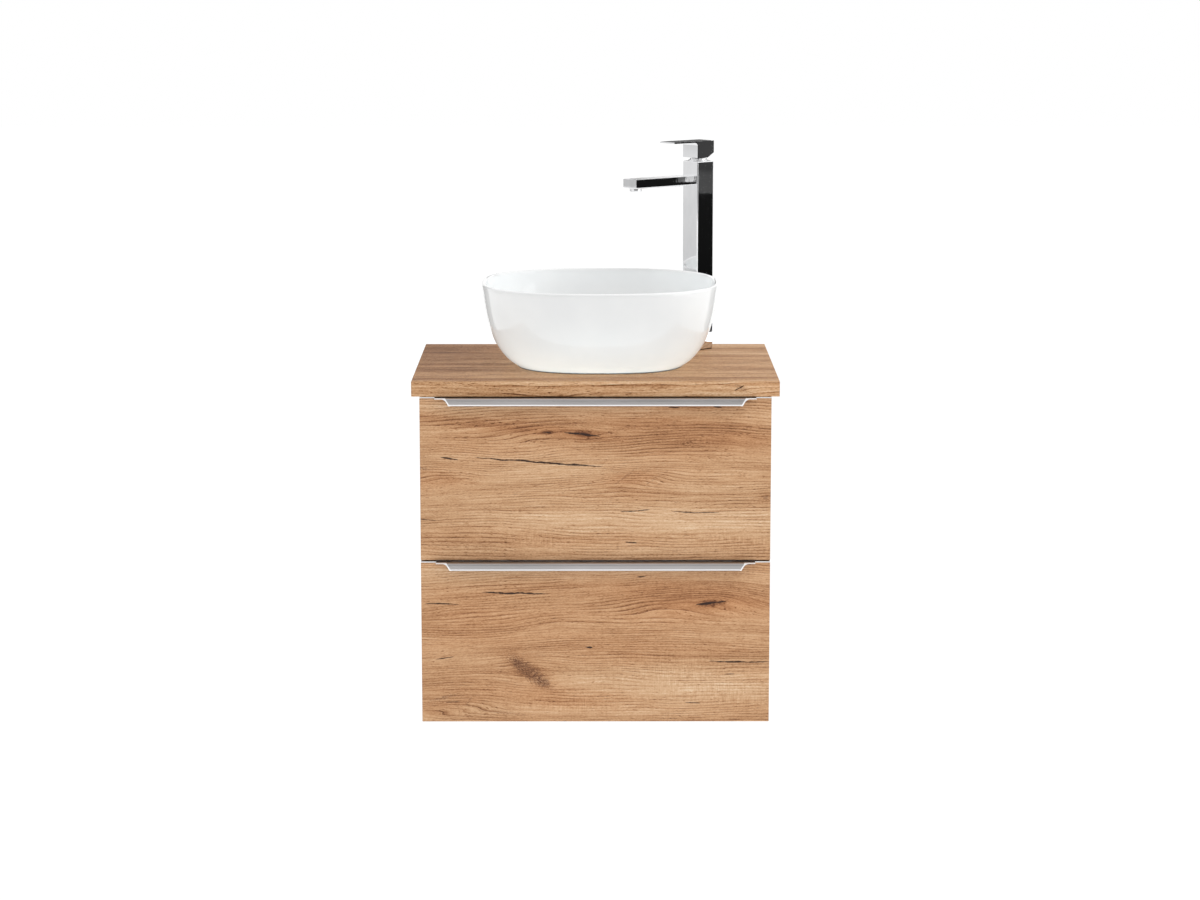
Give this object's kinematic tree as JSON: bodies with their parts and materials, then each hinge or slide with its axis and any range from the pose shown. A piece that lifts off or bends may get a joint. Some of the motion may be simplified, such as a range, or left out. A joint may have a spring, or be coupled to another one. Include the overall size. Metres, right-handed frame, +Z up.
{
  "type": "vanity unit",
  "caption": "Wall-hung wood-grain vanity with stacked drawers under metal edge handles, a pale round-cornered vessel basin on its worktop and a tall square lever mixer tap.",
  "frame": {"origin": "middle of the four wall screws, on the face of the wall", "axes": "+X to the right as a user faces it, +Y into the wall, +Z up"},
  "size_m": [0.6, 0.496, 0.934],
  "materials": {
    "oak_laminate": "satin, fine-grained oak pattern",
    "inner_board": "matt melamine",
    "handle_aluminium": "satin anodised",
    "runner_steel": "zinc plated",
    "fitting_steel": "zinc plated",
    "fitting_plastic": "matt",
    "white_china": "gloss glaze",
    "seal_rubber": "matt",
    "chrome_plate": "mirror polish",
    "raw_brass": "machined"
  },
  "bodies": {
    "root": {"aerator_housing": "chrome_plate", "aerator_insert": "fitting_plastic", "basin": "white_china", "basin_seal": "seal_rubber", "bottom_panel": "oak_laminate", "cam_fittings": "fitting_steel", "carcass_screws": "fitting_steel", "cartridge_body": "fitting_plastic", "cartridge_collar": "chrome_plate", "cartridge_nut": "raw_brass", "front_rail": "inner_board", "hanger_hooks": "fitting_steel", "hanger_housings": "fitting_plastic", "lower_runner_fixed": "runner_steel", "rear_low_rail": "inner_board", "rear_top_rail": "inner_board", "side_panel_left": "oak_laminate", "side_panel_right": "oak_laminate", "tap_column": "chrome_plate", "tap_nut": "raw_brass", "tap_seal": "seal_rubber", "tap_shank": "raw_brass", "tap_spout": "chrome_plate", "tap_washer": "fitting_steel", "trap_bottle": "chrome_plate", "trap_cup": "chrome_plate", "trap_inlet_pipe": "chrome_plate", "trap_nuts": "chrome_plate", "trap_outlet_pipe": "chrome_plate", "upper_runner_fixed": "runner_steel", "wall_plates": "fitting_steel", "wall_rosette": "chrome_plate", "waste_body": "chrome_plate", "waste_nut": "chrome_plate", "waste_seals": "seal_rubber", "worktop": "oak_laminate"},
    "upper_drawer": {"upper_front": "oak_laminate", "upper_handle": "handle_aluminium", "upper_side_left": "inner_board", "upper_side_right": "inner_board", "upper_bottom": "inner_board", "upper_back": "inner_board", "upper_fasteners": "fitting_steel", "upper_runner_inner": "runner_steel", "upper_trap_well": "inner_board"},
    "lower_drawer": {"lower_front": "oak_laminate", "lower_handle": "handle_aluminium", "lower_side_left": "inner_board", "lower_side_right": "inner_board", "lower_bottom": "inner_board", "lower_back": "inner_board", "lower_fasteners": "fitting_steel", "lower_runner_inner": "runner_steel"},
    "upper_runner": {"upper_runner_middle": "runner_steel"},
    "lower_runner": {"lower_runner_middle": "runner_steel"},
    "waste_plug": {"waste_plug": "chrome_plate"},
    "lever_swivel": {"cartridge_rotor": "fitting_plastic"},
    "lever": {"lever": "chrome_plate", "cartridge_stem": "raw_brass", "lever_screw": "fitting_steel"}
  },
  "joints": [
    {"name": "upper_drawer_slide", "type": "slide", "parent": "root", "child": "upper_drawer", "axis": [0, -1, 0], "range_m": [0, 0.32]},
    {"name": "upper_runner_slide", "type": "slide", "parent": "root", "child": "upper_runner", "axis": [0, -1, 0], "range_m": [0, 0.16]},
    {"name": "lower_drawer_slide", "type": "slide", "parent": "root", "child": "lower_drawer", "axis": [0, -1, 0], "range_m": [0, 0.32]},
    {"name": "lower_runner_slide", "type": "slide", "parent": "root", "child": "lower_runner", "axis": [0, -1, 0], "range_m": [0, 0.16]},
    {"name": "lever_swivel", "type": "hinge", "parent": "root", "child": "lever_swivel", "pos_m": [0.17896, -0.06, 0.405], "axis": [0, 0, 1], "range_deg": [-45, 45]},
    {"name": "lever_tilt", "type": "hinge", "parent": "lever_swivel", "child": "lever", "pos_m": [0.17896, -0.06, 0.405], "axis": [-0.6428, 0.766, 0], "range_deg": [0, 25]},
    {"name": "waste_plug_slide", "type": "slide", "parent": "root", "child": "waste_plug", "axis": [0, 0, 1], "range_m": [0, 0.008]}
  ],
  "couplings": [
    {"joint": "upper_runner_slide", "follows": "upper_drawer_slide", "ratio": 0.5},
    {"joint": "lower_runner_slide", "follows": "lower_drawer_slide", "ratio": 0.5}
  ]
}
